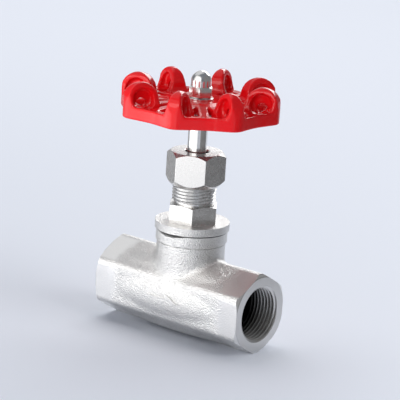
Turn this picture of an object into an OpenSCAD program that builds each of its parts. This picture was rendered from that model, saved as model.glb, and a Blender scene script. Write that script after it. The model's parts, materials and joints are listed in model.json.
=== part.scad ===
// Screwed-bonnet needle valve, DN20, cast stainless body, red handwheel.
// Millimetres. Z is up along the stem, X runs along the flow, and the origin is
// on the stem axis at the small flat under the body. Heights in the sections
// below are measured from the body's own axis, which lies axis_height above it.

/* [Body] */
// Length between the two port faces
body_length = 83.6; // [82:0.2:88]
// Width of the hexagon across its upright side flats
body_flats = 33.6; // [33:0.1:35]
// Height of the body's axis above the flat that it stands on
axis_height = 18.4; // [18:0.1:18.8]
// Radius of the round land at each port face
port_land_r = 17.05; // [16.5:0.05:17.5]
// Radius that the hexagon's corners are rounded back to
corner_r = 18.95; // [18.5:0.05:19.2]
// Radius of the rough cast barrel at its middle
barrel_r = 18.4; // [17.5:0.1:18.6]
// Half length over which the barrel fades into the flats
barrel_half = 29; // [26:1:32]
// Radius of the neck under its collar
neck_r = 15.7; // [15.3:0.1:16]
// Radius of the collar at the top of the neck
collar_r = 16.3; // [16.1:0.1:16.6]
// Height of the collar's lower edge
collar_z = 25.4; // [24:0.1:26]
// Height of the collar's top face
neck_top_z = 30.6; // [30:0.1:31]

/* [Ports] */
// Minor radius of the 3/4 inch parallel pipe thread
port_minor_r = 12.06; // [11.9:0.01:12.2]
// Radius of the countersunk mouth
port_mouth_r = 13.2; // [13:0.05:14]
// Depth of the threaded hole
port_depth = 15; // [13:0.5:16]
// Radius of the flow passages beside the seat
passage_r = 4.75; // [4:0.05:4.8]
// Offset of each passage from the body's axis
passage_offset = 6.5; // [6.4:0.05:6.6]

/* [Seat and needle] */
// Bore of the seat ring
seat_bore_r = 4.25; // [4:0.05:4.5]
// Outer radius of the seat ring's shank
seat_shank_r = 6.5; // [6.2:0.1:7]
// Outer radius of the seat ring's flange
seat_flange_r = 8.5; // [8:0.1:9]
// Half angle of the needle's taper and of the seat
needle_angle = 20; // [18:1:22]
// Radius of the plug body above the needle
plug_r = 7.5; // [7.2:0.1:8]
// Outer radius of the nut that traps the stem's foot
retainer_r = 5.6; // [5.4:0.1:5.8]

/* [Stem] */
// Radius of the smooth stem through the packing
stem_r = 4.4; // [4.3:0.05:4.5]
// Outer radius of the lifting thread
stem_thread_r = 5.95; // [5.8:0.05:6]
// Lift of one turn of the stem
stem_pitch = 2; // [1.5:0.5:2.5]
// Height of the stem above its closed place, as it is drawn
lift = 6; // [0:0.5:8]
// Full lift from the seat to the back seat
full_lift = 8; // [8:0.5:8.5]

/* [Bonnet] */
// Radius of the bonnet's flange
flange_r = 17; // [16.5:0.1:17.2]
// Height of the flange's top face
flange_top_z = 34.6; // [34:0.1:35]
// Width across the flats of the bonnet's hexagon
bonnet_flats = 21; // [20.5:0.5:22]
// Height of the hexagon's top
bonnet_hex_top_z = 43; // [42:0.1:44]
// Outer radius of the thread that takes the gland nut
gland_thread_r = 10; // [9.9:0.05:10.1]
// Height of the bonnet's top
bonnet_top_z = 60; // [59:0.5:61]
// Radius of the stuffing box
box_r = 7.2; // [7:0.1:7.3]
// Radius of the thread that screws into the neck
socket_r = 12.5; // [12.3:0.1:12.7]

/* [Gland] */
// Width across the flats of the gland nut
gland_flats = 23.8; // [23.2:0.1:24]
// Height of the gland nut's base and of its top
gland_z = [51.5, 67]; // [51:0.1:68]
// Radius of the hole that the stem passes in the gland nut
gland_hole_r = 5.45; // [5.2:0.05:5.8]
/* [Handwheel] */
// Number of lobes round the wheel
lobes = 8; // [6:1:9]
// Radius of the wheel at a lobe
lobe_r = 38.2; // [36:0.1:40]
// Radius of the skirt midway between two lobes
valley_r = 33.4; // [32.5:0.1:34]
// Wall thickness of the casting
wheel_wall = 1.9; // [1.8:0.1:2.4]
// Height of the wheel's lower edge with the valve shut
wheel_z = 77.8; // [77:0.1:79]
// Height of the skirt
skirt_h = 5.8; // [5:0.1:7]
// Height of the lobes above the wheel's lower edge
hood_h = 15.9; // [15:0.1:17]
// Width of a lobe's hood halfway up
hood_width = 7.6; // [7:0.2:9]
// Radius of the hub's top
hub_r = 12; // [11.5:0.1:13]
// Height of the hub's top above the wheel's lower edge
hub_h = 7.2; // [7:0.1:7.6]

/* [Hidden] */
$fn = 96;
// Radial clearance of a running fit, and how far a cut runs past a face.
fit = 0.05;
over = 1;
// Body.
half = body_length / 2;
hex_corner_r = body_flats / sqrt(3);
corner_run = (corner_r - port_land_r) * tan(30);
passage_reach = half - port_depth + over;
partition_h = passage_offset - passage_r;
chamber_r = 10;
socket_floor_z = 20;
// Bonnet, and the turns of its hexagon, the gland nut's and the cap nut's.
gasket_h = 0.6;
flange_z = neck_top_z + gasket_h;
spigot_z = 21.5;
mouth_r = 8.6;
backseat_z = 22;
throat_z = [43.5, 46];
hex_angles = [7.5, 27.5, 5];
// Needle, plug and the swivel at the stem's foot, with the valve shut.
needle_slope = tan(needle_angle);
seat_top_z = partition_h + 1.7;
needle_tip_r = 1.4;
needle_top_r = seat_bore_r + 1.35;
cone_z = (needle_top_r - seat_bore_r) / needle_slope;
plug_top_z = cone_z + 9;
swivel_z = plug_top_z - 6.2;
ball_r = 1.5;
ball_z = swivel_z;
foot_r = 4.6;
foot_h = 2;
foot_z = ball_z + ball_r + 2 * fit;
retainer_h = 2.5;
stem_neck_r = 3.2;
backseat_r = 7.2;
backseat_low_z = backseat_z + mouth_r - backseat_r - full_lift - 2 * fit;
stem_thread_top = 33;
// Packing and gland.
packing_count = 4;
washer_h = 1.2;
ring_h = 2.4;
packing_top_z = throat_z[1] + washer_h + packing_count * ring_h;
follower_flange_z = 61.2;
gland_ceiling_z = 63.4;
// Handwheel and what holds it, with the valve shut.
lobe_angle = -69.3;
skirt_top_z = wheel_z + skirt_h;
hood_top_z = wheel_z + hood_h;
hub_top_z = wheel_z + hub_h;
web_h = 2;
spoke_h = 4.2;
spoke_width = 4.6;
web_low_z = skirt_top_z - web_h;
arch_r = 8.3;
arch_mid = lobe_r - arch_r;
arch_z = hood_top_z - arch_r;
square_flats = 6.2;
stud_r = 3;
wheel_seat_z = wheel_z + 2.4;
square_top_z = hub_top_z - 0.3;
wheel_washer_h = 0.8;
washer_r = 6;
cap_flats = 10;
cap_hex_h = 5;
cap_h = 12;
cap_bore = 9;
dome_r = 4.6;
stud_top_z = hub_top_z + wheel_washer_h + cap_bore - 0.5;

// Puts children at the height of the body's axis.
module at_axis() {
    translate([0, 0, axis_height]) children();
}

// Moves children with the stem, from where they are with the valve shut.
module lifted() {
    at_axis() translate([0, 0, lift]) children();
}

// A solid of revolution about Z from [radius, height] points.
module turned(points) {
    rotate_extrude() polygon(points);
}

// A plain ring about Z between two heights.
module ring(outer, inner, z0, z1) {
    turned([[inner, z0], [outer, z0], [outer, z1], [inner, z1]]);
}

// An upright hexagon of a width across flats between two heights.
module hexagon(flats, z0, z1, angle) {
    rotate([0, 0, angle]) translate([0, 0, z0])
        cylinder(r = flats / sqrt(3), h = z1 - z0, $fn = 6);
}

// A cylinder along X from one place to another.
module bar_x(r, x0, x1, z = 0) {
    translate([x0, 0, z]) rotate([0, 90, 0]) cylinder(r = r, h = x1 - x0);
}

// The hexagonal bar with its corners turned back at both port faces.
module hex_bar() {
    intersection() {
        rotate([0, 90, 0])
            cylinder(r = hex_corner_r, h = body_length, center = true, $fn = 6);
        cube([body_length, body_flats, 2 * axis_height], center = true);
        rotate([0, 90, 0]) turned([
            [0, -half], [port_land_r, -half], [corner_r, -half + corner_run],
            [corner_r, half - corner_run], [port_land_r, half], [0, half]
        ]);
    }
}

// The cast barrel, fullest in the middle, that fades into the flats.
module barrel() {
    proud = barrel_r - body_flats / 2;
    rotate([0, 90, 0]) turned([
        [0, -barrel_half],
        for (k = [-4 : 4]) [barrel_r - proud * pow(k / 4, 2), k / 4 * barrel_half],
        [0, barrel_half]
    ]);
}

// One threaded port with its countersunk mouth, opening towards +X.
module port_cut() {
    bar_x(port_minor_r, half - port_depth, half + over);
    rotate([0, 90, 0]) turned([
        [0, half - port_mouth_r], [port_mouth_r, half],
        [port_mouth_r, half + over], [0, half + over]
    ]);
}

// Flow way: low passage up to the seat, chamber over it, high passage out.
module flow_cut() {
    bar_x(passage_r, -passage_reach, passage_r, -passage_offset);
    bar_x(passage_r, 0, passage_reach, passage_offset);
    translate([0, 0, -passage_offset]) cylinder(r = seat_bore_r, h = passage_offset);
    translate([0, 0, -partition_h]) cylinder(r = seat_shank_r, h = 2 * partition_h);
    translate([0, 0, partition_h]) cylinder(r = chamber_r, h = socket_floor_z);
}

module body() {
    color("silver") at_axis() difference() {
        union() {
            hex_bar();
            barrel();
            turned([
                [0, 0], [neck_r, 0], [neck_r, collar_z],
                [collar_r - 0.3, collar_z], [collar_r, collar_z + 0.3],
                [collar_r, neck_top_z], [0, neck_top_z]
            ]);
        }
        port_cut();
        mirror([1, 0, 0]) port_cut();
        flow_cut();
        translate([0, 0, socket_floor_z]) cylinder(r = socket_r, h = neck_top_z);
    }
}

module seat_ring() {
    cone_r = seat_bore_r + seat_top_z * needle_slope;
    color("gainsboro") at_axis() turned([
        [seat_bore_r, -partition_h], [seat_shank_r, -partition_h],
        [seat_shank_r, partition_h], [seat_flange_r, partition_h],
        [seat_flange_r, seat_top_z], [cone_r, seat_top_z], [seat_bore_r, 0]
    ]);
}

module bonnet_gasket() {
    color("dimgray") at_axis() ring(collar_r - 0.7, socket_r + 0.2, neck_top_z, flange_z);
}

module bonnet() {
    color("lightgray") at_axis() difference() {
        union() {
            turned([
                [0, spigot_z], [socket_r, spigot_z], [socket_r, flange_z],
                [flange_r, flange_z], [flange_r, flange_top_z], [0, flange_top_z]
            ]);
            hexagon(bonnet_flats, flange_top_z - over, bonnet_hex_top_z, hex_angles[0]);
            turned([
                [0, bonnet_hex_top_z - over], [gland_thread_r - 1, bonnet_hex_top_z - over],
                [gland_thread_r - 1, 44.2], [gland_thread_r, 45],
                [gland_thread_r, bonnet_top_z - 1], [gland_thread_r - 1, bonnet_top_z],
                [0, bonnet_top_z]
            ]);
        }
        turned([
            [0, spigot_z - over], [mouth_r, spigot_z - over], [mouth_r, backseat_z],
            [stem_thread_r + fit, backseat_z + mouth_r - stem_thread_r - fit],
            [stem_thread_r + fit, throat_z[0]], [stem_r + fit, throat_z[0]],
            [stem_r + fit, throat_z[1]], [box_r, throat_z[1]],
            [box_r, bonnet_top_z + over], [0, bonnet_top_z + over]
        ]);
    }
}

module packing_washer() {
    z = throat_z[1];
    color("darkgray") at_axis() ring(box_r - fit, stem_r + fit, z, z + washer_h);
}

// One packing ring, counted from the bottom of the stuffing box.
module packing_ring(n) {
    z = throat_z[1] + washer_h + (n - 1) * ring_h;
    color("white") at_axis() ring(box_r - fit, stem_r + fit / 2, z, z + ring_h);
}

module gland_follower() {
    color("darkgray") at_axis() turned([
        [stem_r + fit, packing_top_z], [box_r - fit, packing_top_z],
        [box_r - fit, follower_flange_z], [gland_thread_r - 1, follower_flange_z],
        [gland_thread_r - 1, gland_ceiling_z - fit], [stem_r + fit, gland_ceiling_z - fit]
    ]);
}

module gland_nut() {
    corner = gland_flats / sqrt(3);
    color("silver") at_axis() difference() {
        intersection() {
            hexagon(gland_flats, gland_z[0], gland_z[1], hex_angles[1]);
            turned([
                [0, gland_z[0]], [gland_thread_r + 0.9, gland_z[0]],
                [corner + 0.9, gland_z[0] + 4], [corner + 0.9, gland_z[1] - 2.6],
                [gland_flats / 2 - 0.2, gland_z[1]], [0, gland_z[1]]
            ]);
        }
        turned([
            [0, gland_z[0] - over], [gland_thread_r + fit, gland_z[0] - over],
            [gland_thread_r + fit, gland_ceiling_z], [gland_hole_r, gland_ceiling_z],
            [gland_hole_r, gland_z[1] + over], [0, gland_z[1] + over]
        ]);
    }
}

module needle_plug() {
    needle_h = (needle_top_r - needle_tip_r) / needle_slope;
    pocket_r = ball_r + 2 * fit;
    color("lightgray") lifted() translate([0, 0, fit]) turned([
        [0, cone_z - needle_h], [needle_tip_r, cone_z - needle_h], [needle_top_r, cone_z],
        [plug_r, cone_z + 1], [plug_r, plug_top_z], [retainer_r, plug_top_z],
        [retainer_r, swivel_z], [pocket_r, swivel_z],
        [pocket_r, ball_z - ball_r], [0, ball_z - ball_r]
    ]);
}

module thrust_ball() {
    color("silver") lifted() translate([0, 0, fit + ball_z]) sphere(r = ball_r);
}

module plug_retaining_nut() {
    color("darkgray") lifted() translate([0, 0, fit])
        ring(retainer_r, stem_neck_r + fit, plug_top_z - retainer_h, plug_top_z);
}

module stem() {
    color("gainsboro") lifted() {
        turned([
            [0, foot_z], [foot_r, foot_z], [foot_r, foot_z + foot_h],
            [stem_neck_r, foot_z + foot_h], [stem_neck_r, plug_top_z + 0.9],
            [backseat_r, plug_top_z + 0.9], [backseat_r, backseat_low_z],
            [stem_thread_r, backseat_low_z + backseat_r - stem_thread_r],
            [stem_thread_r, stem_thread_top - 1], [stem_r, stem_thread_top],
            [stem_r, wheel_seat_z], [0, wheel_seat_z]
        ]);
        translate([-square_flats / 2, -square_flats / 2, wheel_seat_z - over])
            cube([square_flats, square_flats, square_top_z - wheel_seat_z + over]);
        translate([0, 0, square_top_z - over])
            cylinder(r = stud_r, h = stud_top_z - square_top_z + over);
    }
}

// Plan of the wheel: a corner at each lobe and a shallow waist between two.
module wheel_plan(shrink, z0, z1) {
    translate([0, 0, z0]) linear_extrude(z1 - z0) polygon([
        for (i = [0 : 2 * lobes - 1])
            let (a = lobe_angle + i * 180 / lobes)
            let (r = (i % 2 == 0 ? lobe_r : valley_r) - shrink)
            [r * cos(a), r * sin(a)]
    ]);
}

// A filled arch across the rim, from low upwards, as wide as asked round it.
module arch(r, low, wide) {
    rotate([90, 0, 0]) linear_extrude(wide, center = true) {
        translate([arch_mid, arch_z]) circle(r = r);
        translate([arch_mid - r, low]) square([2 * r, arch_z - low]);
    }
}

// Repeats children at every lobe, or halfway between the lobes.
module round_wheel(offset = 0) {
    for (i = [0 : lobes - 1])
        rotate([0, 0, lobe_angle + (i + offset) * 360 / lobes]) children();
}

// One lobe's hood over +X: an arch, narrower towards its top, dished on both
// sides round a rib that has a hole at its foot.
module hood() {
    half_w = hood_width / 2;
    hole_r = 3.2;
    hole = [arch_mid - 1, arch_z - 1.2];
    difference() {
        intersection() {
            arch(arch_r, web_low_z - 1, hood_width + 6);
            rotate([90, 0, 90]) linear_extrude(lobe_r + over) polygon([
                for (p = [[half_w + 2, web_low_z - 2], [half_w + 1.6, skirt_top_z],
                          [half_w + 0.6, skirt_top_z + 2], [half_w, skirt_top_z + 4.5],
                          [half_w - 0.6, hood_top_z - 2.6], [half_w - 1.5, hood_top_z - 1],
                          [half_w - 2.6, hood_top_z + 0.01]]) p,
                for (p = [[-half_w + 2.6, hood_top_z + 0.01], [-half_w + 1.5, hood_top_z - 1],
                          [-half_w + 0.6, hood_top_z - 2.6], [-half_w, skirt_top_z + 4.5],
                          [-half_w - 0.6, skirt_top_z + 2], [-half_w - 1.6, skirt_top_z],
                          [-half_w - 2, web_low_z - 2]]) p
            ]);
        }
        for (side = [-90, 90])
            translate([arch_mid, 0, arch_z]) rotate([side, 0, 0]) turned([
                [0, 1.1], [3.3, 1.1], [5.8, 2.5], [6.9, half_w + 3], [0, half_w + 3]
            ]);
        translate([hole[0], 0, hole[1]]) rotate([90, 0, 0])
            cylinder(r = hole_r, h = hood_width + 8, center = true);
        translate([hole[0] - hole_r, -hood_width, web_low_z - 2])
            cube([2 * hole_r, 2 * hood_width, hole[1] - web_low_z + 2]);
    }
}

// Shallow cone that the spokes and the feet of the hoods are cut from.
module web_cone() {
    turned([
        [hub_r - 4, hub_top_z - spoke_h], [valley_r, skirt_top_z - spoke_h - 0.2],
        [valley_r, skirt_top_z - 0.2], [hub_r - 4, hub_top_z - 0.2]
    ]);
}

module handwheel() {
    color("red") lifted() difference() {
        union() {
            difference() {
                wheel_plan(0, wheel_z, skirt_top_z);
                wheel_plan(wheel_wall * 1.1, wheel_z - over, skirt_top_z + over);
            }
            intersection() {
                wheel_plan(0, wheel_z, hood_top_z + over);
                round_wheel() hood();
            }
            intersection() {
                web_cone();
                union() {
                    round_wheel(0.5) translate([0, -spoke_width / 2, wheel_z])
                        cube([valley_r - 0.6, spoke_width, hood_h]);
                    round_wheel() translate([0, -hood_width / 2, wheel_z])
                        cube([arch_mid - arch_r + 3, hood_width, hood_h]);
                }
            }
            turned([
                [0, wheel_z + 0.4], [hub_r - 2.4, wheel_z + 0.4], [hub_r - 2.4, hub_top_z - 4],
                [hub_r, hub_top_z - web_h], [hub_r, hub_top_z], [0, hub_top_z]
            ]);
        }
        translate([0, 0, wheel_z - over]) cylinder(r = stem_r + fit, h = wheel_seat_z - wheel_z + over);
        translate([-square_flats / 2, -square_flats / 2, wheel_z])
            cube([square_flats, square_flats, hood_h]);
    }
}

module wheel_washer() {
    color("silver") lifted() ring(washer_r, stud_r + 0.2, hub_top_z, hub_top_z + wheel_washer_h);
}

module cap_nut() {
    base = hub_top_z + wheel_washer_h;
    color("silver") lifted() translate([0, 0, base]) difference() {
        union() {
            intersection() {
                hexagon(cap_flats, 0, cap_hex_h, hex_angles[2]);
                turned([
                    [0, 0], [cap_flats / 2, 0], [cap_flats / sqrt(3), 0.45],
                    [cap_flats / sqrt(3), cap_hex_h - 0.45], [cap_flats / 2, cap_hex_h], [0, cap_hex_h]
                ]);
            }
            cylinder(r = dome_r, h = cap_h - dome_r);
            translate([0, 0, cap_h - dome_r]) sphere(r = dome_r);
        }
        translate([0, 0, -over]) cylinder(r = stud_r, h = cap_bore + over);
    }
}

body();
seat_ring();
bonnet_gasket();
bonnet();
packing_washer();
packing_ring(1);  // packing_ring_1
packing_ring(2);  // packing_ring_2
packing_ring(3);  // packing_ring_3
packing_ring(4);  // packing_ring_4
gland_follower();
gland_nut();
needle_plug();
thrust_ball();
plug_retaining_nut();
stem();
handwheel();
wheel_washer();
cap_nut();
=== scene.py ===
import json
import math

import bmesh
import bpy
from mathutils import Matrix, Vector


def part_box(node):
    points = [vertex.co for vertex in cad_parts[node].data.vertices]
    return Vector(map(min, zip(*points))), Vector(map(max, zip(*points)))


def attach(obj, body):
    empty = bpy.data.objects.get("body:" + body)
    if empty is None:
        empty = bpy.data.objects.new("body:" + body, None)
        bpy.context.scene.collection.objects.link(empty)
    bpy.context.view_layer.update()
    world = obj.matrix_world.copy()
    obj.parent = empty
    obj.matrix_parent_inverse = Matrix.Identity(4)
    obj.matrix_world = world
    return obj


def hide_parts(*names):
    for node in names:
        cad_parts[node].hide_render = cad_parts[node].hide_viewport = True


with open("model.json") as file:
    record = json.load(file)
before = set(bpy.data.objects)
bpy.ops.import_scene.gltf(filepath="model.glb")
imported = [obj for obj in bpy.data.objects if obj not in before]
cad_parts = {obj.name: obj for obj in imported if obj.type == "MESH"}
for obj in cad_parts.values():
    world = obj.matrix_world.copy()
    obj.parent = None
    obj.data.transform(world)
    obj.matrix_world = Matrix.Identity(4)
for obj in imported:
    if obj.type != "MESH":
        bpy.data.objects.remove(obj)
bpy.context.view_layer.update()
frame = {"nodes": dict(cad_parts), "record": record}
print("frame loaded")

# Pieces are modelled in millimetres, with heights from the body's own axis, then placed in metres.
axisHeight = frame["record"]["mounts"][0]["pos_m"][2]
toMetres = Matrix.Translation((0, 0, axisHeight)) @ Matrix.Scale(0.001, 4)
lift = 6  # how far the stem stands above its closed place at rest


class Signal:  # a shader socket that adds Math nodes when it is used in an expression
    def __init__(self, finish, socket):
        self.finish, self.socket = finish, socket

    def maths(self, operation, *values):
        return self.finish.node("Math", {"operation": operation}, dict(enumerate(values)))

    def __add__(self, other):
        return self.maths("ADD", self, other)

    def __radd__(self, other):
        return self.maths("ADD", other, self)

    def __sub__(self, other):
        return self.maths("SUBTRACT", self, other)

    def __rsub__(self, other):
        return self.maths("SUBTRACT", other, self)

    def __mul__(self, other):
        return self.maths("MULTIPLY", self, other)

    def __rmul__(self, other):
        return self.maths("MULTIPLY", other, self)

    def __pow__(self, other):
        return self.maths("POWER", self, other)

    def __or__(self, other):  # the larger of two masks
        return self.maths("MAXIMUM", self, other)

    def __abs__(self):
        return self.maths("ABSOLUTE", self)


class Finish:  # a material under construction
    def __init__(self, name):
        self.material = bpy.data.materials.new(name)
        self.material.use_nodes = True
        self.tree = self.material.node_tree
        self.tree.nodes.clear()

    def node(self, kind, settings=None, inputs=None, output=0):
        made = self.tree.nodes.new("ShaderNode" + kind)
        for key, value in (settings or {}).items():
            setattr(made, key, value)
        for key, value in (inputs or {}).items():
            if isinstance(value, Signal):
                self.tree.links.new(value.socket, made.inputs[key])
            else:
                made.inputs[key].default_value = value
        return Signal(self, made.outputs[output])

    def place(self):  # Object coordinates in millimetres from the body's axis, as x, y, z
        metres = self.node("TexCoord", output=3)
        self.here = self.node("VectorMath", {"operation": "MULTIPLY_ADD"},
                              {0: metres, 1: (1000, 1000, 1000), 2: (0, 0, -1000 * axisHeight)})
        apart = self.node("SeparateXYZ", inputs={0: self.here})
        return [Signal(self, output) for output in apart.socket.node.outputs]

    def noise(self, scale, detail, roughness=0.5):  # scale in cycles a millimetre
        return self.node("TexNoise", {"noise_dimensions": "3D"},
                         {"Vector": self.here, "Scale": scale, "Detail": detail, "Roughness": roughness})

    def step(self, value, low, high):  # smooth rise from 0 at low to 1 at high
        return self.node("MapRange", {"interpolation_type": "SMOOTHSTEP"},
                         {"Value": value, "From Min": low, "From Max": high,
                          "To Min": 0.0, "To Max": 1.0})

    def mix(self, factor, first, second):
        return self.node("Mix", {"data_type": "RGBA"}, {0: factor, 6: first, 7: second}, output=2)

    def bump(self, height, distance):  # distance in millimetres
        return self.node("Bump", inputs={"Height": height, "Distance": distance / 1000})

    def shader(self, **inputs):
        named = {key.replace("_", " "): value for key, value in inputs.items()}
        principled = self.node("BsdfPrincipled", inputs=named)
        out = self.tree.nodes.new("ShaderNodeOutputMaterial")
        self.tree.links.new(principled.socket, out.inputs["Surface"])
        return self.material


def grey(level):  # steel is a little warmer than a neutral grey
    return (level, level * 0.99, level * 0.97, 1)


castLook = {
    "dark": 0.52, "light": 0.96,  # the skin's grey levels
    "ground": 0.90, "turned": 0.64, "shade": 0.04,
    "roughness": 0.34,
    "grain": 0.46,  # how many millimetres deep the bumps would be at full height
    "grainScale": 2.0,
    "groundFrom": 27, "groundRun": 6,  # along the bar, where the ground flats fade in
    "flatInner": 15.5, "flatOuter": 18.2,  # the flats lie between these radii
    "endFace": 41.5, "portWall": 13.6, "portFrom": 20,
    "deepFrom": 35, "deepTo": 27,  # along the bar, where a port goes dark
    "jointFrom": 30.4,  # the height above which the body is painted in shadow, at the joint under the bonnet
}


def castSteel():  # blasted casting whose hexagon flats are ground and whose port faces are turned
    look = castLook
    f = Finish("castSteel")
    x, y, z = f.place()
    length = abs(x)
    radius = (y * y + z * z) ** 0.5
    cloud = f.noise(0.22, 4, 0.6)
    grit = f.noise(1.3, 3, 0.7)
    drift = (f.noise(0.12, 1) - 0.5) * 10
    # the flats are ground towards the ends, and the rounded corners are left as cast
    onFlat = f.step(length + drift, look["groundFrom"], look["groundFrom"] + look["groundRun"])
    onFlat = onFlat * (1 - f.step(radius, look["flatOuter"], look["flatOuter"] + 0.6))
    onFlat = onFlat * f.step(radius, look["flatInner"], look["flatInner"] + 1)
    inPort = 1 - f.step(radius, look["portWall"], look["portWall"] + 0.2)
    endFace = f.step(length, look["endFace"], look["endFace"] + 0.2)
    turned = endFace | inPort * f.step(length, look["portFrom"], look["portFrom"] + 1)
    smooth = onFlat * 0.75 | turned
    colour = f.mix(cloud * 0.35 + grit * 0.65, grey(look["dark"]), grey(look["light"]))
    colour = f.mix(smooth, colour, grey(look["ground"]))
    colour = f.mix(turned, colour, grey(look["turned"]))
    # painted shadow: the body's top edge at the joint under the bonnet is coloured near black
    jointShadow = f.step(z, look["jointFrom"], look["jointFrom"] + 0.15)
    colour = f.mix(jointShadow, colour, grey(look["shade"]))
    # little light reaches the bottom of a port
    inThread = 1 - f.step(radius, look["portWall"] - 0.3, look["portWall"] - 0.1)
    deep = inThread * (1 - f.step(length, look["deepTo"], look["deepFrom"]))
    colour = f.mix(deep, colour, grey(look["shade"]))
    rough = look["roughness"] + (grit - 0.5) * 0.2
    rough = rough * (1 - smooth) + smooth * (look["roughness"] + (cloud - 0.5) * 0.12)
    skin = f.noise(look["grainScale"], 1.5) - 0.5
    height = skin * (1 - onFlat * 0.8) * (1 - turned)
    return f.shader(Base_Color=colour, Metallic=1.0, Roughness=rough, Normal=f.bump(height, look["grain"]))


turnedLook = {  # grey level, roughness, and how deep the turning marks are in millimetres
    "machinedSteel": (0.70, 0.27, 0.004),
    "polishedSteel": (0.78, 0.17, 0.004),
    "brightPlate": (0.80, 0.2, 0.002),
}
jointBand = (30, 31)  # the heights between which the bonnet is in shadow
flangeBand = (31.15, 34.7)  # the heights between which the bonnet is left as cast


def turnedSteel(name, castBand=None):  # fine turning marks round the stem axis
    level, roughness, marks = turnedLook[name]
    f = Finish(name)
    x, y, z = f.place()
    radius = (x * x + y * y) ** 0.5
    fine = f.node("TexNoise", {"noise_dimensions": "2D"},
                  {"Vector": f.node("CombineXYZ", inputs={0: radius, 1: z}), "Scale": 5.0,
                   "Detail": 3.0, "Roughness": 0.6})
    cloud = f.noise(0.3, 3)
    colour = f.mix(cloud * 0.7 + fine * 0.3, grey(level * 0.84), grey(level))
    rough = roughness + (cloud - 0.5) * 0.08 + (fine - 0.5) * 0.06
    height = fine * marks
    # painted shadow on the bonnet's neck at the joint over the gasket
    jointShadow = f.step(z, jointBand[0], jointBand[0] + 0.1) * (1 - f.step(z, jointBand[1], jointBand[1] + 0.1))
    colour = f.mix(jointShadow, colour, grey(castLook["shade"]))
    if castBand:
        low, high = castBand
        skin = f.step(z, low - 0.1, low) * (1 - f.step(z, high - 0.05, high))
        grit = f.noise(castLook["grainScale"], 1.5)
        colour = f.mix(skin, colour, f.mix(grit, grey(castLook["dark"]), grey(castLook["light"] * 0.92)))
        rough = rough * (1 - skin) + skin * (castLook["roughness"] + (grit - 0.5) * 0.2)
        height = height * (1 - skin) + (grit - 0.5) * skin * castLook["grain"]
    return f.shader(Base_Color=colour, Metallic=1.0, Roughness=rough, Normal=f.bump(height, 1.0))


enamelLook = {
    "dark": (0.66, 0.004, 0.007, 1), "light": (0.80, 0.007, 0.011, 1),
    # inside is the colour of the painted shade under the wheel's web
    "speck": (0.3, 0.003, 0.006, 1), "inside": (0.10, 0.002, 0.003, 1),
    "shadeTop": 86.2, "shadeRadius": 30.5,  # below and within these the wheel gets the painted shade colour and a rougher coat
    "roughness": 0.3, "coatRoughness": 0.05, "coatIor": 1.38, "peel": 0.12,
}


def redEnamel():  # stoved enamel over an iron casting, with painted shade and a rougher coat inside the wheel under the web
    look = enamelLook
    f = Finish("redEnamel")
    x, y, z = f.place()
    radius = (x * x + y * y) ** 0.5
    cloud = f.noise(0.09, 3, 0.55)
    peel = f.noise(0.35, 2)
    speck = f.step(f.noise(1.1, 2, 0.6), 0.72, 0.8)
    colour = f.mix(cloud, look["dark"], look["light"])
    colour = f.mix(speck * 0.35, colour, look["speck"])
    # painted shade: darker under the web inside the wheel, which is also made rougher
    inside = 1 - f.step(z, look["shadeTop"], look["shadeTop"] + 2.2)
    inside = inside * (1 - f.step(radius, look["shadeRadius"], look["shadeRadius"] + 1.5))
    colour = f.mix(inside * 0.85, colour, look["inside"])
    # the coat alone reflects
    return f.shader(Base_Color=colour, Metallic=0.0, Roughness=look["roughness"] + inside * 0.3,
                    Specular_IOR_Level=0.0, Coat_Weight=1.0, Coat_Roughness=look["coatRoughness"],
                    Coat_IOR=look["coatIor"], Normal=f.bump(peel, look["peel"]))


def graphite():
    f = Finish("graphite")
    f.place()
    flake = f.noise(2.2, 3, 0.7)
    colour = f.mix(flake, (0.02, 0.02, 0.022, 1), (0.07, 0.07, 0.075, 1))
    return f.shader(Base_Color=colour, Roughness=0.5 + flake * 0.2, Normal=f.bump(flake, 0.05))


def ptfe():
    f = Finish("ptfe")
    f.place()
    cloud = f.noise(0.8, 3)
    colour = f.mix(cloud, (0.78, 0.78, 0.75, 1), (0.9, 0.9, 0.88, 1))
    return f.shader(Base_Color=colour, Roughness=0.4 + cloud * 0.15, Normal=f.bump(cloud, 0.03))


finishes = {
    "cast_stainless": castSteel(),
    "machined_stainless": turnedSteel("machinedSteel", flangeBand),
    "polished_stem": turnedSteel("polishedSteel"),
    "plated_steel": turnedSteel("brightPlate"),
    "red_enamel": redEnamel(),
    "graphite_gasket": graphite(),
    "ptfe_packing": ptfe(),
}
print("finishes made")


def lathe(points, steps=96, along="Z"):  # spins a closed (radius, height) outline into a solid
    bm = bmesh.new()
    verts = [bm.verts.new((r, 0, h)) for r, h in points]
    edges = [bm.edges.new(pair) for pair in zip(verts, verts[1:])]
    if points[0][0] or points[-1][0]:  # an outline clear of the axis closes on itself
        edges.append(bm.edges.new((verts[-1], verts[0])))
    bmesh.ops.spin(bm, geom=verts + edges, cent=(0, 0, 0), axis=(0, 0, 1), dvec=(0, 0, 0),
                   angle=math.tau, steps=steps, use_merge=True)
    bmesh.ops.remove_doubles(bm, verts=bm.verts, dist=1e-4)
    if along == "X":
        turnedAbout(bm, "Y", 90)
    bmesh.ops.recalc_face_normals(bm, faces=bm.faces)
    return bm


def drawnOut(bm, vec):  # the bmesh's flat outline drawn out into a solid
    raised = bmesh.ops.extrude_face_region(bm, geom=bm.faces[:])
    bmesh.ops.translate(bm, verts=[v for v in raised["geom"] if isinstance(v, bmesh.types.BMVert)], vec=vec)
    bmesh.ops.recalc_face_normals(bm, faces=bm.faces)
    return bm


def turnedAbout(bm, axis, degrees):
    bmesh.ops.rotate(bm, verts=bm.verts, matrix=Matrix.Rotation(math.radians(degrees), 3, axis))
    return bm


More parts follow.
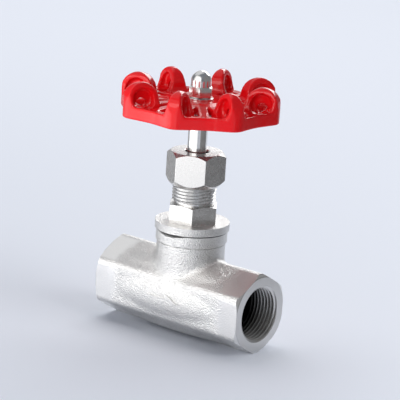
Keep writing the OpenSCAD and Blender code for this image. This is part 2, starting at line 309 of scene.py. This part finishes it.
def prism(sides, flats, low, high, turn=0):  # an upright polygon bar, by its width across flats
    bm = bmesh.new()
    bmesh.ops.create_circle(bm, cap_ends=True, segments=sides, radius=flats / 2 / math.cos(math.pi / sides))
    # create_circle starts at +Y, and a turn is counted from +X
    turnedAbout(bm, "Z", turn - 90)
    bmesh.ops.translate(bm, verts=bm.verts, vec=(0, 0, low))
    return drawnOut(bm, (0, 0, high - low))


def helix(root, mouth, rootHalf, pitch, low, high, steps=72, along="Z"):  # a screw groove as a solid
    flank = math.tan(math.radians(30))
    mouthHalf = rootHalf + abs(root - mouth) * flank
    bm = bmesh.new()
    corners = [(root, -rootHalf), (root, rootHalf), (mouth, mouthHalf), (mouth, -mouthHalf)]
    verts = [bm.verts.new((r, 0, low + h)) for r, h in corners]
    face = bm.faces.new(verts)
    turns = (high - low) / pitch
    bmesh.ops.spin(bm, geom=verts + face.edges[:] + [face], cent=(0, 0, 0), axis=(0, 0, 1),
                   dvec=(0, 0, pitch / steps), angle=math.tau * turns, steps=round(steps * turns))
    if along == "X":
        turnedAbout(bm, "Y", 90)
    bmesh.ops.recalc_face_normals(bm, faces=bm.faces)
    return bm


def joined(*parts):  # one bmesh from several, which may overlap
    whole = bmesh.new()
    for part in parts:
        mesh = bpy.data.meshes.new("part")
        part.to_mesh(mesh)
        part.free()
        whole.from_mesh(mesh)
        bpy.data.meshes.remove(mesh)
    return whole


def evaluatedMesh(thing):  # a new mesh from the object, with its modifiers applied
    return bpy.data.meshes.new_from_object(thing.evaluated_get(bpy.context.evaluated_depsgraph_get()))


def worked(bm, kind, **settings):  # the mesh after one modifier
    mesh = bpy.data.meshes.new("work")
    bm.to_mesh(mesh)
    bm.free()
    thing = bpy.data.objects.new("work", mesh)
    bpy.context.scene.collection.objects.link(thing)
    modifier = thing.modifiers.new("work", kind)
    for key, value in settings.items():
        setattr(modifier, key, value)
    done = evaluatedMesh(thing)
    result = bmesh.new()
    result.from_mesh(done)
    bpy.data.objects.remove(thing)
    bpy.data.meshes.remove(mesh)
    bpy.data.meshes.remove(done)
    return result


def cut(bm, tool, operation="DIFFERENCE"):  # boolean of the mesh with a tool, which is used up
    mesh = bpy.data.meshes.new("tool")
    tool.to_mesh(mesh)
    tool.free()
    blade = bpy.data.objects.new("tool", mesh)
    bpy.context.scene.collection.objects.link(blade)
    result = worked(bm, "BOOLEAN", object=blade, operation=operation, solver="MANIFOLD")
    bpy.data.objects.remove(blade)
    bpy.data.meshes.remove(mesh)
    return result


def softened(bm, width, segments=2):  # bevels every edge sharper than 30 degrees
    return worked(bm, "BEVEL", width=width, segments=segments, limit_method="ANGLE",
                  angle_limit=math.radians(30), harden_normals=False)


def smoothed(bm, rounds, near=None):
    for _ in range(rounds):
        verts = [v for v in bm.verts if near is None or near(v.co)]
        bmesh.ops.smooth_vert(bm, verts=verts, factor=0.5, use_axis_x=True, use_axis_y=True,
                              use_axis_z=True)
    return bm


def addPiece(name, bm, body, slot, *nodes, sharp=32, flatSided=False):
    bmesh.ops.transform(bm, matrix=toMetres, verts=bm.verts)
    mesh = bpy.data.meshes.new(name)
    bm.to_mesh(mesh)
    bm.free()
    for polygon in mesh.polygons:
        polygon.use_smooth = True
    mesh.set_sharp_from_angle(angle=math.radians(sharp))
    mesh.materials.append(finishes[slot])
    piece = bpy.data.objects.new(name, mesh)
    bpy.context.scene.collection.objects.link(piece)
    if flatSided:  # flats shade flat right up to their bevels
        piece.modifiers.new("flatten", "WEIGHTED_NORMAL").keep_sharp = True
        shaded = evaluatedMesh(piece)
        piece.modifiers.clear()
        piece.data = shaded
        bpy.data.meshes.remove(mesh)
        shaded.name = name
    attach(piece, body)
    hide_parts(*nodes)
    print("made", name, len(piece.data.polygons), "faces")


bodySizes = {
    "length": 83.6, "flats": 33.6, "cornerRadius": 3,
    "standing": 18.4,  # from the axis down to the flat that the valve stands on
    "portLand": 17.05, "cornerLand": 18.95,  # where the ends' chamfer starts and stops
    "barrelRadius": 18.4, "barrelReach": 29, "neckRadius": 15.7, "neckTop": 30.6,
    "collarRadius": 16.3, "collarLow": 25.4, "socketRadius": 12.5, "socketFloor": 20,
    "chamberRadius": 10, "seatRadius": 6.5, "seatBore": 4.25,
    "portRadius": 12.06, "portMouth": 13.1, "mouthSlope": 0.6, "portDepth": 15,
    "threadRoot": 13.22, "threadPitch": 1.814, "passageRadius": 4.75, "passageOffset": 6.5,
    "voxel": 0.5, "filletRounds": 26, "barrelRounds": 12, "skinRounds": 3,
}
arrowSizes = {"tail": -9, "head": 2, "tip": 8.5, "shaftHalf": 1.2, "headHalf": 3.2, "proud": 0.45}


def flowArrow(side):  # a raised arrow along the flow, the same height all over the barrel's curve
    s = arrowSizes
    edge = [(s["tail"], s["shaftHalf"]), (s["head"], s["shaftHalf"]), (s["head"], s["headHalf"])]
    outline = [(x, -z) for x, z in edge] + [(s["tip"], 0)] + edge[::-1]
    bm = bmesh.new()
    bm.faces.new([bm.verts.new((x, 14, z)) for x, z in outline])
    drawnOut(bm, (0, 8, 0))  # right through the skin
    bmesh.ops.scale(bm, verts=bm.verts, vec=(1, side, 1))
    bmesh.ops.recalc_face_normals(bm, faces=bm.faces)
    top = bodySizes["barrelRadius"] + s["proud"]
    return cut(bm, lathe([(0, -12), (top, -12), (top, 12), (0, 12)], steps=192, along="X"), "INTERSECT")


def portTool(s):  # the solid that cuts a countersunk, threaded port
    half = s["length"] / 2
    floor = half - s["portDepth"]
    chamfer = s["portMouth"] - s["portRadius"]
    port = lathe([(0, floor), (s["portRadius"], floor), (s["portRadius"], half - chamfer * s["mouthSlope"]),
                  (s["portMouth"], half), (s["portMouth"], half + 2), (0, half + 2)], along="X")
    groove = helix(s["threadRoot"], s["portRadius"] - 0.15, 0.12, s["threadPitch"],
                   floor + 1.2, half + 1.5, along="X")
    return cut(port, groove, "UNION")


def makeBody():
    s = bodySizes
    half = s["length"] / 2
    bar = prism(6, s["flats"], -half - 2, half + 2)
    long = [e for e in bar.edges if abs(e.verts[0].co.z - e.verts[1].co.z) > 1]
    bmesh.ops.bevel(bar, geom=long, offset=s["cornerRadius"] * math.tan(math.radians(30)),
                    offset_type="OFFSET", segments=5, profile=0.5, affect="EDGES", material=-1)
    turnedAbout(bar, "Y", 90)
    # the barrel swells in the middle and meets the bar's flats at its ends
    proud, reach = s["barrelRadius"] - s["flats"] / 2, s["barrelReach"]
    swell = [(s["barrelRadius"] - proud * (i / 8) ** 2, reach * i / 8) for i in range(-8, 9)]
    barrel = lathe([(0, -reach)] + swell + [(0, reach)], along="X")
    neck = lathe([(0, 0), (s["neckRadius"], 0), (s["neckRadius"], s["neckTop"] + 2), (0, s["neckTop"] + 2)])
    skin = worked(joined(bar, barrel, neck), "REMESH", mode="VOXEL", voxel_size=s["voxel"])
    # the casting's fillet where the neck meets the bar
    smoothed(skin, s["filletRounds"], lambda p: 6 < p.z < 22 and 12.5 < math.hypot(p.x, p.y) < 20)
    smoothed(skin, s["barrelRounds"], lambda p: abs(p.x) < reach and p.z < 24)
    smoothed(skin, s["skinRounds"])
    skin = cut(skin, joined(flowArrow(-1), flowArrow(1)), "UNION")
    collar = lathe([(0, s["collarLow"]), (s["collarRadius"] - 0.25, s["collarLow"]),
                    (s["collarRadius"], s["collarLow"] + 0.3), (s["collarRadius"], s["neckTop"] + 2.5),
                    (0, s["neckTop"] + 2.5)])
    # a shallow groove at the collar's root
    inner, outer = s["neckRadius"] - 0.35, s["neckRadius"] + 2
    root = lathe([(inner, s["collarLow"] - 0.45), (outer, s["collarLow"] - 0.6),
                  (outer, s["collarLow"]), (inner, s["collarLow"])])
    skin = cut(cut(skin, root), collar, "UNION")
    run = (s["cornerLand"] - s["portLand"]) * math.tan(math.radians(30))
    edge, wide = half - run, s["neckTop"] + 3
    skin = cut(skin, lathe([(0, -half), (s["portLand"], -half), (s["cornerLand"], -edge), (wide, -edge),
                            (wide, edge), (s["cornerLand"], edge), (s["portLand"], half), (0, half)],
                           along="X"), "INTERSECT")
    # the small flat that the valve stands on
    skin = cut(skin, prism(4, 3 * s["length"], -s["standing"] - 20, -s["standing"]))
    print("casting skinned")
    wall = s["passageOffset"] - s["passageRadius"]
    inside = lathe([(0, -s["passageOffset"]), (s["seatBore"], -s["passageOffset"]), (s["seatBore"], -wall),
                    (s["seatRadius"], -wall), (s["seatRadius"], wall), (s["chamberRadius"], wall),
                    (s["chamberRadius"], s["socketFloor"]), (s["socketRadius"], s["socketFloor"]),
                    (s["socketRadius"], s["neckTop"] - 0.4), (s["socketRadius"] + 0.4, s["neckTop"]),
                    (40, s["neckTop"]), (40, 60), (0, 60)])
    for side in (1, -1):
        port = portTool(s)
        start = 0 if side > 0 else -s["passageRadius"]
        end = half - s["portDepth"] + 1
        way = lathe([(0, start), (s["passageRadius"], start), (s["passageRadius"], end), (0, end)],
                    along="X", steps=48)
        bmesh.ops.translate(way, verts=way.verts, vec=(0, 0, s["passageOffset"] * side))
        for tool in (port, way):
            if side < 0:
                turnedAbout(tool, "Z", 180)
            inside = cut(inside, tool, "UNION")
    skin = cut(skin, inside)
    addPiece("body_casting", skin, "valve_body", "cast_stainless", "body", sharp=24, flatSided=True)


makeBody()


bonnetSizes = {
    "low": 21.5, "shankRadius": 12.5, "shankTop": 30.0, "jointRadius": 12.1,
    "flangeRadius": 17, "flangeLow": 31.1, "flangeTop": 34.6,
    "flats": 21, "hexTop": 43, "hexTurn": 7.5,
    "threadRadius": 10, "threadRoot": 9.1, "pitch": 1.5, "undercutTop": 44.6, "top": 60,
    "mouth": 8.6, "stemBore": 6.0, "stemBoreTop": 43.5, "backBore": 4.45, "boxFloor": 46, "boxRadius": 7.2,
}


def makeBonnet():
    s = bonnetSizes
    corner, hexLow = s["flats"] / math.sqrt(3), s["flangeTop"]
    hexagon = cut(prism(6, s["flats"], hexLow - 1, s["hexTop"], s["hexTurn"]),
                  lathe([(0, hexLow - 2), (corner + 1, hexLow - 2), (corner + 0.1, s["hexTop"] - 0.7),
                         (s["flats"] / 2 - 0.25, s["hexTop"] + 0.05), (0, s["hexTop"] + 0.05)]), "INTERSECT")
    shank = lathe([(0, s["low"]), (s["shankRadius"] - 0.6, s["low"]), (s["shankRadius"], s["low"] + 0.6),
                   (s["shankRadius"], s["shankTop"]), (s["jointRadius"], s["shankTop"] + 0.2),
                   (s["jointRadius"], s["flangeLow"]), (s["flangeRadius"], s["flangeLow"]),
                   (s["flangeRadius"], s["flangeTop"]), (0, s["flangeTop"])])
    undercut = s["threadRadius"] - 1.0
    neck = lathe([(0, s["hexTop"] - 2), (undercut, s["hexTop"] - 2), (undercut, s["undercutTop"] - 0.6),
                  (s["threadRadius"], s["undercutTop"]), (s["threadRadius"], s["top"] - 0.9),
                  (s["threadRadius"] - 0.9, s["top"]), (0, s["top"])])
    shape = softened(cut(cut(shank, hexagon, "UNION"), neck, "UNION"), 0.18)
    shape = cut(shape, helix(s["threadRoot"], s["threadRadius"] + 0.12, 0.1, s["pitch"],
                             s["undercutTop"] - 0.4, s["top"] + 0.8))
    shape = cut(shape, helix(s["shankRadius"] - 0.9, s["shankRadius"] + 0.12, 0.1, s["pitch"],
                             s["low"] + 1, s["shankTop"] - 0.6))
    bore = lathe([(0, s["low"] - 0.5), (s["mouth"], s["low"] - 0.5), (s["mouth"], s["low"] + 0.5),
                  (s["stemBore"], s["low"] + 3.1), (s["stemBore"], s["stemBoreTop"]),
                  (s["backBore"], s["stemBoreTop"]), (s["backBore"], s["boxFloor"]),
                  (s["boxRadius"], s["boxFloor"]), (s["boxRadius"], s["top"] - 0.4),
                  (s["boxRadius"] + 0.4, s["top"]), (s["boxRadius"] + 0.4, s["top"] + 1), (0, s["top"] + 1)])
    addPiece("bonnet_turned", cut(shape, bore), "valve_body", "machined_stainless", "bonnet",
             flatSided=True)


makeBonnet()


glandSizes = {
    "flats": 23.8, "low": 51.5, "top": 67, "turn": 27.5, "hole": 5.45, "bore": 10.05, "ceiling": 63.4,
}


def makeGlandNut():
    s = glandSizes
    corner = s["flats"] / math.sqrt(3)
    shape = cut(prism(6, s["flats"], s["low"], s["top"], s["turn"]),
                lathe([(0, s["low"]), (s["flats"] / 2 - 0.9, s["low"]), (corner + 0.9, s["low"] + 3.9),
                       (corner + 0.9, s["top"] - 2.6), (s["flats"] / 2 - 0.2, s["top"]), (0, s["top"])]),
                "INTERSECT")
    shape = softened(shape, 0.25, 3)
    bore = lathe([(0, s["low"] - 1), (s["bore"] + 1, s["low"] - 1), (s["bore"] + 0.6, s["low"]),
                  (s["bore"], s["low"] + 0.6), (s["bore"], s["ceiling"]), (s["hole"], s["ceiling"]),
                  (s["hole"], s["top"] - 0.5), (s["hole"] + 0.5, s["top"]), (s["hole"] + 0.8, s["top"] + 1),
                  (0, s["top"] + 1)])
    addPiece("gland_nut_turned", cut(shape, bore), "nut", "machined_stainless", "gland_nut",
             flatSided=True)


makeGlandNut()


stemSizes = {  # with the valve shut
    "radius": 4.4, "footRadius": 4.6, "footHeight": 2, "ankle": 3.2, "backSeat": 7.2, "backSeatTop": 15.3,
    "thread": 5.95, "root": 4.9, "pitch": 2, "threadLow": 16.55, "threadTop": 32,
    "shoulder": 80.2, "square": 6.2, "squareTop": 84.7, "stud": 3, "studTop": 94.3,
}


def makeStem():
    s = stemSizes
    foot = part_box("thrust_ball")[1].z * 1000 - axisHeight * 1000 - lift + 0.05
    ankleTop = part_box("needle_plug")[1].z * 1000 - axisHeight * 1000 - lift + 0.85
    shaft = lathe([(0, foot), (s["footRadius"] - 0.2, foot), (s["footRadius"], foot + 0.2),
                   (s["footRadius"], foot + s["footHeight"]), (s["ankle"], foot + s["footHeight"]),
                   (s["ankle"], ankleTop), (s["backSeat"], ankleTop), (s["backSeat"], s["backSeatTop"]),
                   (s["thread"], s["threadLow"]), (s["thread"], s["threadTop"]),
                   (s["radius"], s["threadTop"] + 1), (s["radius"], s["shoulder"]), (0, s["shoulder"])])
    shaft = cut(shaft, helix(s["root"], s["thread"] + 0.15, 0.15, s["pitch"],
                             s["threadLow"] + 0.95, s["threadTop"] + 1.5))
    square = turnedAbout(prism(4, s["square"], s["shoulder"] - 1, s["squareTop"]), "Z", 45)
    stud = lathe([(0, s["squareTop"] - 1), (s["stud"], s["squareTop"] - 1), (s["stud"], s["studTop"] - 0.6),
                  (s["stud"] - 0.6, s["studTop"]), (0, s["studTop"])], steps=48)
    stud = cut(stud, helix(s["stud"] - 0.6, s["stud"] + 0.05, 0.1, 1, s["squareTop"] + 0.3,
                           s["studTop"] + 0.5, steps=36))
    shape = cut(cut(shaft, square, "UNION"), stud, "UNION")
    bmesh.ops.translate(shape, verts=shape.verts, vec=(0, 0, lift))
    addPiece("stem_turned", shape, "spindle", "polished_stem", "stem")


makeStem()


wheelSizes = {
    "lobes": 8, "turn": -69.3, "lobeRadius": 38.2, "valleyRadius": 33.4, "rounding": 3.2,
    "low": 83.8, "skirt": 5.8, "wall": 1.9, "ledge": 4,
    "hood": 15.9, "hoodWide": 5.8, "archRadius": 7.5, "archFoot": 8.7,
    "ribHalf": 0.9, "dishRadius": 4.9, "eyeRadius": 2.6, "eyeDrop": 2.2,
    "hubTop": 91.0, "hubRadius": 12, "bossRadius": 9.6, "spoke": 4.4, "spokeDeep": 4.4,
    "voxel": 0.42, "rounds": 5,
}


def wheelPlan(low, high):  # the wheel's eight-lobed plan as a solid with soft corners
    s = wheelSizes
    bm = bmesh.new()
    bmesh.ops.create_circle(bm, cap_ends=True, segments=2 * s["lobes"], radius=1)
    turnedAbout(bm, "Z", -90)
    for v in bm.verts:
        step = round(math.atan2(v.co.y, v.co.x) / (math.pi / s["lobes"]))
        v.co *= s["valleyRadius"] if step % 2 else s["lobeRadius"]
    bmesh.ops.bevel(bm, geom=bm.verts[:], offset=s["rounding"], offset_type="OFFSET", segments=5,
                    profile=0.5, affect="VERTICES", material=-1)
    bmesh.ops.translate(bm, verts=bm.verts, vec=(0, 0, low))
    return drawnOut(bm, (0, 0, high - low))


def makeSkirt():  # the upright wall round the wheel
    s = wheelSizes
    bm = wheelPlan(s["low"], s["low"] + s["skirt"])
    caps = [f for f in bm.faces if abs(f.normal.z) > 0.5]
    bmesh.ops.delete(bm, geom=caps, context="FACES_ONLY")
    bmesh.ops.solidify(bm, geom=bm.faces[:], thickness=s["wall"])
    bmesh.ops.recalc_face_normals(bm, faces=bm.faces)
    return bm


def makeHood():  # one lobe's arch over +X, dished on both sides round a rib with a hole in it
    s = wheelSizes
    foot = s["low"] + s["skirt"] - 3
    middle, high = s["lobeRadius"] - s["archFoot"], s["low"] + s["hood"] - s["archRadius"]
    arch = bmesh.new()
    bmesh.ops.create_circle(arch, cap_ends=True, segments=48, radius=s["archRadius"])
    for v in arch.verts:
        if v.co.y < -1e-4:  # the lower half becomes legs that spread towards the skirt
            v.co = (math.copysign(s["archFoot"], v.co.x) if abs(v.co.x) > 1e-3 else 0, foot - high, 0)
    bmesh.ops.remove_doubles(arch, verts=arch.verts, dist=1e-3)
    turnedAbout(arch, "X", 90)
    bmesh.ops.translate(arch, verts=arch.verts, vec=(middle, s["hoodWide"], high))
    arch = drawnOut(arch, (0, -2 * s["hoodWide"], 0))
    wide, base, top = s["hoodWide"] / 2, s["low"] + s["skirt"], s["low"] + s["hood"]
    # seen from the wheel's rim, a hood is a bell that flares into the skirt
    bell = [(wide + 2.1, foot - 1), (wide + 1.9, base), (wide + 1.1, base + 1.8), (wide + 0.3, base + 4.5),
            (wide - 0.1, top - 3), (wide - 0.6, top - 1.4), (wide - 1.3, top - 0.5),
            (wide - 2.3, top + 0.01)]
    bell += [(-y, z) for y, z in bell[::-1]]
    front = bmesh.new()
    front.faces.new([front.verts.new((middle - 12, y, z)) for y, z in bell])
    hood = cut(arch, drawnOut(front, (24, 0, 0)), "INTERSECT")
    hood = cut(hood, wheelPlan(s["low"] - 1, top + 1), "INTERSECT")
    rib, dishRadius = s["ribHalf"], s["dishRadius"]
    for side in (-1, 1):
        dish = lathe([(0, rib), (dishRadius - 1, rib), (dishRadius - 0.3, rib + 0.4),
                      (dishRadius, rib + 1.1), (dishRadius + 0.2, 7), (0, 7)], steps=48)
        turnedAbout(dish, "X", -90 * side)
        bmesh.ops.translate(dish, verts=dish.verts, vec=(middle, 0, high))
        hood = cut(hood, dish)
    eye = lathe([(0, -8), (s["eyeRadius"], -8), (s["eyeRadius"], 8), (0, 8)], steps=32)
    turnedAbout(eye, "X", 90)
    bmesh.ops.translate(eye, verts=eye.verts, vec=(middle, 0, high - s["eyeDrop"]))
    return cut(hood, eye)


def makeWheel():
    s = wheelSizes
    skirtTop, foot = s["low"] + s["skirt"], s["lobeRadius"] - 2 * s["archFoot"] + 3
    start = s["bossRadius"] - 1.6  # the spokes start inside the boss
    web = lathe([(start, s["hubTop"] - s["spokeDeep"]), (s["valleyRadius"], skirtTop - s["spokeDeep"] - 0.2),
                 (s["valleyRadius"], skirtTop - 0.2), (start, s["hubTop"] - 0.2)])
    hood = makeHood()
    bars, hoods = [], []
    for i in range(s["lobes"]):
        for wide, reach, offset in ((s["spoke"], s["valleyRadius"] - 0.6, 0.5), (s["hoodWide"], foot, 0)):
            bar = bmesh.new()
            bmesh.ops.create_cube(bar, size=1)
            bmesh.ops.scale(bar, verts=bar.verts, vec=(reach, wide, 16))
            bmesh.ops.translate(bar, verts=bar.verts, vec=(reach / 2, 0, skirtTop))
            bars.append(cut(web.copy(), turnedAbout(bar, "Z", (i + offset) * 360 / s["lobes"]), "INTERSECT"))
        hoods.append(turnedAbout(hood.copy(), "Z", i * 360 / s["lobes"]))
    hood.free()
    web.free()
    hub = lathe([(0, s["low"] + 0.4), (s["bossRadius"] - 0.6, s["low"] + 0.4),
                 (s["bossRadius"], s["low"] + 1), (s["bossRadius"], s["hubTop"] - 4),
                 (s["hubRadius"], s["hubTop"] - 2), (s["hubRadius"], s["hubTop"]), (0, s["hubTop"])])
    inner = s["valleyRadius"] - s["ledge"]
    ledge = cut(wheelPlan(skirtTop - 2.6, skirtTop - 0.2),
                lathe([(0, skirtTop - 4), (inner, skirtTop - 4), (inner, skirtTop + 1), (0, skirtTop + 1)]))
    whole = joined(makeSkirt(), hub, ledge, *bars, *hoods)
    skin = smoothed(worked(whole, "REMESH", mode="VOXEL", voxel_size=s["voxel"]), s["rounds"])
    # round at the bottom for the stem's shoulder, and square above it
    shoulder, stemRadius = s["low"] + 2.4, stemSizes["radius"] + 0.1
    hole = lathe([(0, s["low"] - 1), (stemRadius, s["low"] - 1), (stemRadius, shoulder), (0, shoulder)],
                 steps=48)
    square = prism(4, stemSizes["square"], s["low"] + 1, s["hubTop"] + 2, 45 - s["turn"])
    skin = turnedAbout(cut(skin, cut(hole, square, "UNION")), "Z", s["turn"])
    addPiece("handwheel_cast", skin, "spindle", "red_enamel", "handwheel", sharp=60)


makeWheel()


washerSizes = {"thickness": 0.8, "radius": 6.0, "bore": 3.2, "edge": 0.15}
capSizes = {"flats": 10, "hex": 5, "dome": 4.6, "height": 12, "turn": 5, "bore": 3.0, "boreDepth": 8.4}


def makeCapNut():
    s = capSizes
    low, corner = wheelSizes["hubTop"] + washerSizes["thickness"], s["flats"] / math.sqrt(3)
    face, hexTop = s["flats"] / 2 - 0.1, low + s["hex"]
    shape = cut(prism(6, s["flats"], low, hexTop, s["turn"]),
                lathe([(0, low), (face, low), (corner, low + 0.5), (corner, hexTop - 0.5),
                       (face, hexTop), (0, hexTop)]), "INTERSECT")
    shape = softened(shape, 0.12, 2)
    top = low + s["height"] - s["dome"]
    arc = [(s["dome"] * math.cos(a), top + s["dome"] * math.sin(a)) for a in
           [math.radians(i * 5) for i in range(18)]]
    dome = lathe([(0, low + 1), (s["dome"], low + 1)] + arc + [(0, low + s["height"])], steps=64)
    shape = cut(shape, dome, "UNION")
    bore = lathe([(0, low - 1), (s["bore"] + 0.6, low - 1), (s["bore"], low + 0.6),
                  (s["bore"], low + s["boreDepth"]), (0, low + s["boreDepth"] + 0.6)], steps=48)
    addPiece("cap_nut_domed", cut(shape, bore), "spindle", "plated_steel", "cap_nut")


def makeWasher():
    s = washerSizes
    radius, edge, low = s["radius"], s["edge"], wheelSizes["hubTop"]
    high = low + s["thickness"]
    ring = lathe([(s["bore"], low), (radius - edge, low), (radius, low + edge),
                  (radius, high - edge), (radius - edge, high), (s["bore"], high)])
    addPiece("wheel_washer_flat", ring, "spindle", "plated_steel", "wheel_washer")


makeCapNut()
makeWasher()


replaced = {"body", "bonnet", "gland_nut", "stem", "handwheel", "cap_nut", "wheel_washer"}
slots = {row["node"]: row["material_slot"] for row in frame["record"]["subparts"]}
for name, piece in frame["nodes"].items():
    if name not in replaced:
        piece.data.materials.clear()
        piece.data.materials.append(finishes[slots[name]])
print("inner pieces finished")


cameraSettings = {  # aside and up are how far the aim is from the body's axis
    "lensLength": 187.5, "distance": 0.9556, "azimuth": 38.53, "elevation": 14.7, "roll": 3.7,
    "aside": 0.00557, "up": 0.04242,
}
studio = {"floorColour": (0.79, 0.82, 0.89, 1), "skyColour": (0.85, 0.9, 1.0, 1), "skyStrength": 0.26}


def toward(azimuth, elevation=0):  # the direction from the valve to a place round it
    a, e = math.radians(azimuth), math.radians(elevation)
    return Vector((math.sin(a) * math.cos(e), -math.cos(a) * math.cos(e), math.sin(e)))


behind = cameraSettings["azimuth"] + 180  # the azimuth straight across from the camera
lights = {  # place is an azimuth, a distance and a height, and lit is all that the light falls on
    "leftCard": {"radiance": 1.05, "size": (0.38, 0.4), "place": (-8, 0.20, 0.2), "aim": (0, 0, 0.2),
                 "colour": (1, 0.98, 0.95), "lit": "valve"},
    "lowCard": {"radiance": 1.6, "size": (0.24, 0.09), "place": (-36, 0.19, 0.05), "aim": (0, 0, 0.03),
                "lit": "valve"},
    "frontBox": {"radiance": 2.5, "size": (0.7, 0.4), "place": (5, 0.85, 0.45), "lit": "valve"},
    "topBox": {"radiance": 0.6, "size": (1.2, 1.2), "place": (-105, 0.6, 1.1), "lit": "valve"},
    "farBox": {"radiance": 2.1, "size": (1.8, 1.4), "place": (218.5, 0.75, 1.3),
               "aim": toward(behind) * 0.8, "lit": "floor"},
    "nearBox": {"radiance": 3.2, "size": (0.5, 0.5), "place": (100, 0.7, 0.5), "lit": "floor"},
    "backCard": {"radiance": 0.7, "size": (2.4, 1.0), "place": (218.5, 1.8, 0.5), "aim": (0, 0, 0.5)},
    "backStrip": {"radiance": 5.0, "size": (1.2, 0.55), "place": (195, 1.4, 0.85), "lit": "valve"},
}
flags = {
    "rightFlag": {"azimuth": 112, "distance": 0.15, "size": (0.27, 0.3), "level": 0.24},
    "leftFlag": {"azimuth": -108, "distance": 0.20, "size": (0.16, 0.13), "level": 0.52},
}


def makeFloor():
    bm = bmesh.new()
    bmesh.ops.create_grid(bm, x_segments=2, y_segments=2, size=6)
    mesh = bpy.data.meshes.new("floor")
    bm.to_mesh(mesh)
    bm.free()
    floor = bpy.data.objects.new("floor", mesh)
    bpy.context.scene.collection.objects.link(floor)
    f = Finish("floorPaint")
    mesh.materials.append(f.shader(Base_Color=studio["floorColour"], Roughness=0.9))


def addFlag(name, azimuth, distance, size, level):  # a dark card that only reflections meet
    bm = bmesh.new()
    bmesh.ops.create_grid(bm, x_segments=1, y_segments=1, size=0.5)
    bmesh.ops.scale(bm, verts=bm.verts, vec=(size[0], size[1], 1))
    back = toward(azimuth)
    bmesh.ops.rotate(bm, verts=bm.verts, matrix=(-back).to_track_quat("Z", "Y").to_matrix())
    bmesh.ops.translate(bm, verts=bm.verts, vec=back * distance + Vector((0, 0, size[1] / 2)))
    mesh = bpy.data.meshes.new(name)
    bm.to_mesh(mesh)
    bm.free()
    flag = bpy.data.objects.new(name, mesh)
    bpy.context.scene.collection.objects.link(flag)
    f = Finish(name + "Cloth")
    mesh.materials.append(f.shader(Base_Color=grey(level), Roughness=0.9))
    flag.visible_camera = flag.visible_shadow = flag.visible_diffuse = False


def addLight(name, radiance, size, place, aim=(0, 0, 0.05), colour=(1, 1, 1), lit=None):
    light = bpy.data.lights.new(name, "AREA")
    light.shape, light.size, light.size_y = "RECTANGLE", size[0], size[1]
    light.energy = radiance * math.pi * size[0] * size[1]
    light.color = colour
    lamp = bpy.data.objects.new(name, light)
    azimuth, distance, height = place
    lamp.location = toward(azimuth) * distance + Vector((0, 0, height))
    lamp.rotation_mode = "QUATERNION"
    lamp.rotation_quaternion = (Vector(aim) - lamp.location).to_track_quat("-Z", "Y")
    lamp.visible_camera = False
    bpy.context.scene.collection.objects.link(lamp)
    if lit:  # the floor alone, or everything but the floor
        group = bpy.data.collections.new(name + "Group")
        group.objects.link(bpy.data.objects["floor"])
        group.collection_objects[0].light_linking.link_state = "INCLUDE" if lit == "floor" else "EXCLUDE"
        lamp.light_linking.receiver_collection = group


def makeWorld():
    world = bpy.data.worlds.new("studio")
    bpy.context.scene.world = world
    world.use_nodes = True
    background = world.node_tree.nodes["Background"]
    background.inputs["Color"].default_value = studio["skyColour"]
    background.inputs["Strength"].default_value = studio["skyStrength"]
    bpy.context.scene.view_settings.view_transform = "Standard"


def makeCamera():
    s = cameraSettings
    r = math.radians(s["roll"])
    back, right = toward(s["azimuth"], s["elevation"]), toward(s["azimuth"] + 90)
    up = back.cross(right)
    right, up = right * math.cos(r) + up * math.sin(r), up * math.cos(r) - right * math.sin(r)
    data = bpy.data.cameras.new("camera")
    data.lens, data.sensor_width = s["lensLength"], 36
    data.clip_start, data.clip_end = 0.05, 50
    camera = bpy.data.objects.new("camera", data)
    camera.matrix_world = Matrix((right, up, back)).transposed().to_4x4()
    camera.location = right * s["aside"] + up * s["up"] + back * s["distance"] + Vector((0, 0, axisHeight))
    bpy.context.scene.collection.objects.link(camera)
    bpy.context.scene.camera = camera


makeFloor()
makeWorld()
for name, settings in lights.items():
    addLight(name, **settings)
for name, settings in flags.items():
    addFlag(name, **settings)
makeCamera()
print("stage set")
